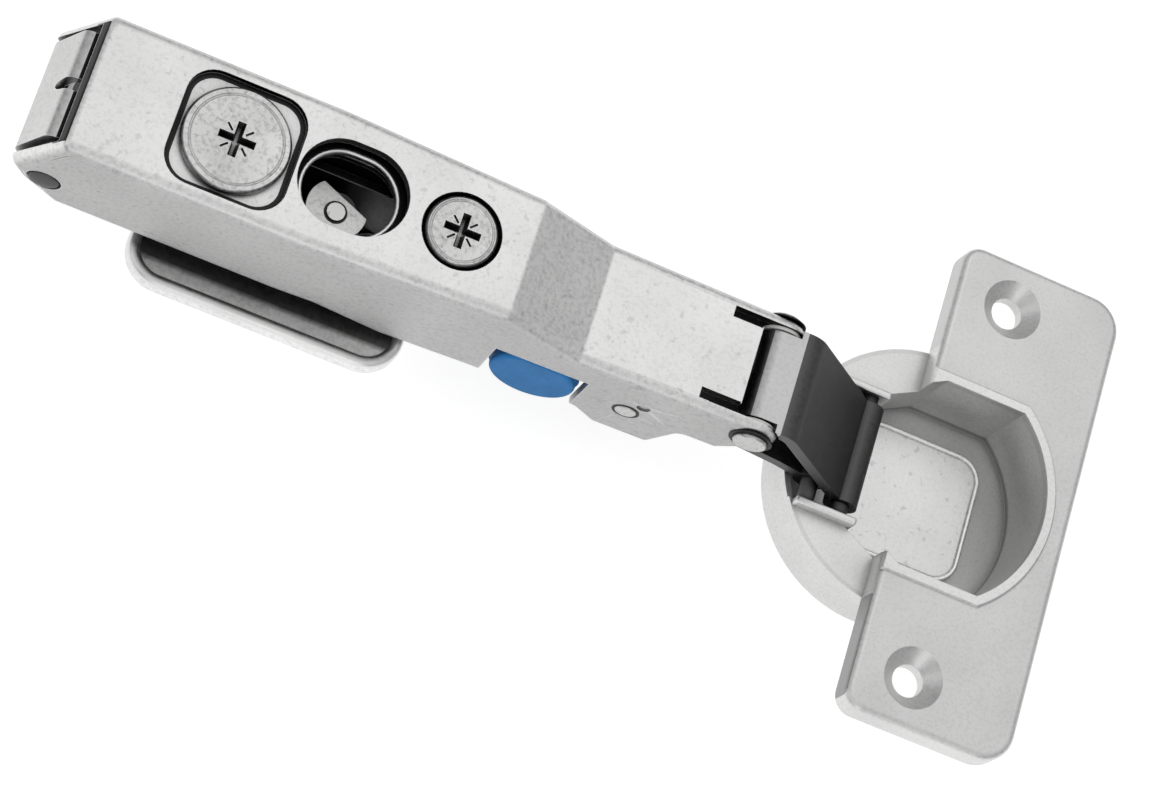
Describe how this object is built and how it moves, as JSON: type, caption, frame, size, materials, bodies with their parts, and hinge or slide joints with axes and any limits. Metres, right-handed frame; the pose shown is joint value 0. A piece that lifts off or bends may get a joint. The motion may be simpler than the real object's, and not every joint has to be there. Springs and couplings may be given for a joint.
{
  "type": "concealed cup hinge",
  "caption": "Clip-on concealed cabinet door hinge with a folded arm, two-link mechanism, soft-close damper and a round cup with a screw flange.",
  "frame": {"origin": "middle of the mounting plate's underside, on the cabinet side", "axes": "+X along the arm to the cup, +Y across the arm, +Z away from the cabinet side"},
  "size_m": [0.1407, 0.0652, 0.0291],
  "materials": {
    "arm_nickel": "matt nickel plate",
    "screw_nickel": "nickel plate",
    "cup_nickel": "matt nickel plate",
    "link_steel": "nickel plate",
    "plate_nickel": "matt nickel plate",
    "cup_plate_nickel": "nickel plate",
    "adapter_steel": "zinc plate",
    "lever_nickel": "nickel plate",
    "pin_steel": "bright steel",
    "spring_steel": "oiled spring wire",
    "damper_blue": "moulded",
    "damper_grey": "moulded",
    "washer_white": "moulded"
  },
  "bodies": {
    "plate": {"mounting_plate": "plate_nickel", "saddle_rivets": "pin_steel"},
    "height_cam": {"height_cam_screw": "screw_nickel"},
    "carrier": {"plate_saddle": "plate_nickel", "saddle_rear_pin": "pin_steel", "arm_adapter": "adapter_steel", "adapter_hook_pin": "pin_steel", "release_lever_pin": "pin_steel", "release_lever_spring": "spring_steel", "slide_guide_rivet": "pin_steel"},
    "lever": {"release_lever": "lever_nickel"},
    "slide": {"depth_slide_plate": "adapter_steel"},
    "side_screw": {"side_adjust_screw": "screw_nickel"},
    "arm": {"hinge_arm": "arm_nickel", "front_link_pin": "pin_steel", "rear_link_pin": "pin_steel", "damper_housing": "damper_blue", "closing_spring": "spring_steel", "link_washers": "washer_white"},
    "depth_cam": {"depth_cam_screw": "screw_nickel", "cam_washer": "screw_nickel"},
    "rotor": {"damper_rotor": "damper_grey"},
    "outer": {"outer_link": "link_steel"},
    "cup": {"hinge_cup": "cup_nickel", "cup_plate": "cup_plate_nickel", "outer_cup_pin": "pin_steel", "inner_cup_pin": "pin_steel"},
    "inner": {"inner_link": "link_steel"}
  },
  "joints": [
    {"name": "height_slide", "type": "slide", "parent": "plate", "child": "carrier", "axis": [0, 1, 0], "range_m": [-0.0015, 0.0015]},
    {"name": "height_cam_turn", "type": "hinge", "parent": "plate", "child": "height_cam", "pos_m": [0.0034, 0, 0], "axis": [0, 0, 1], "range_deg": [-60, 60]},
    {"name": "lever_press", "type": "hinge", "parent": "carrier", "child": "lever", "pos_m": [-0.0263, 0, 0.0143], "axis": [0, 1, 0], "range_deg": [0, 10], "stiffness_Nm_per_rad": 0.15, "springref_deg": -8.59},
    {"name": "depth_slide", "type": "slide", "parent": "carrier", "child": "slide", "axis": [1, 0, 0], "range_m": [-0.0019, 0.0019]},
    {"name": "side_screw_turn", "type": "hinge", "parent": "slide", "child": "side_screw", "pos_m": [0.0173, 0, 0.02], "axis": [0, 0, 1], "range_deg": [-360, 360]},
    {"name": "arm_tilt", "type": "hinge", "parent": "slide", "child": "arm", "pos_m": [-0.0115, 0, 0.0221], "axis": [0, 1, 0], "range_deg": [-1.2, 1.2]},
    {"name": "depth_cam_turn", "type": "hinge", "parent": "arm", "child": "depth_cam", "pos_m": [-0.0115, 0, 0.0221], "axis": [0, 0, 1], "range_deg": [-60, 60]},
    {"name": "door_fold", "type": "hinge", "parent": "arm", "child": "outer", "pos_m": [0.0602, 0, 0.0157], "axis": [0, 1, 0], "range_deg": [0, 38.6]},
    {"name": "cup_turn", "type": "hinge", "parent": "outer", "child": "cup", "pos_m": [0.07655, 0, 0.0042], "axis": [0, 1, 0], "range_deg": [-130.6, 0]},
    {"name": "inner_link_turn", "type": "hinge", "parent": "cup", "child": "inner", "pos_m": [0.07183, 0, 0.00465], "axis": [0, 1, 0], "range_deg": [0, 125.8]},
    {"name": "damper_turn", "type": "hinge", "parent": "arm", "child": "rotor", "pos_m": [0.0333, 0, 0.0084], "axis": [0, 1, 0], "range_deg": [-12.5, 0]}
  ],
  "couplings": [
    {"joint": "height_cam_turn", "follows": "height_slide", "rad_per_m": -698.06},
    {"joint": "depth_cam_turn", "follows": "depth_slide", "rad_per_m": 551.1},
    {"joint": "side_screw_turn", "follows": "arm_tilt", "ratio": 299.9},
    {"joint": "cup_turn", "follows": "door_fold", "ratio": -3.3834},
    {"joint": "inner_link_turn", "follows": "door_fold", "ratio": 3.259},
    {"joint": "damper_turn", "follows": "door_fold", "ratio": -0.3238}
  ]
}
